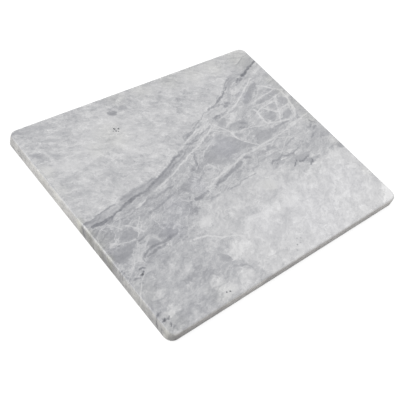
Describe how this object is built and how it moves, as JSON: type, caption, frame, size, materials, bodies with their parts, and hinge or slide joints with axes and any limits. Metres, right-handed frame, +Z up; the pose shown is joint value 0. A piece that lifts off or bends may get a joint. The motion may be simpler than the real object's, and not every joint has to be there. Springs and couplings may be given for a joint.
{
  "type": "marble pastry board",
  "caption": "Rectangular marble pastry board with rounded corners and eased edges, standing on non-slip stick-on feet: a cool, flat surface for rolling and kneading dough.",
  "frame": {"origin": "on the worktop, under the middle of the slab", "axes": "+X along the long sides, +Y from the front long side to the rear one, +Z up"},
  "size_m": [0.508, 0.4064, 0.0231],
  "materials": {
    "marble": "satin",
    "foot_rubber": "matte",
    "foam_adhesive": "matte"
  },
  "bodies": {
    "root": {"marble_slab": "marble", "foot_front_left": "foot_rubber", "foot_front_right": "foot_rubber", "foot_rear_left": "foot_rubber", "foot_rear_right": "foot_rubber", "adhesive_front_left": "foam_adhesive", "adhesive_front_right": "foam_adhesive", "adhesive_rear_left": "foam_adhesive", "adhesive_rear_right": "foam_adhesive"}
  },
  "joints": []
}
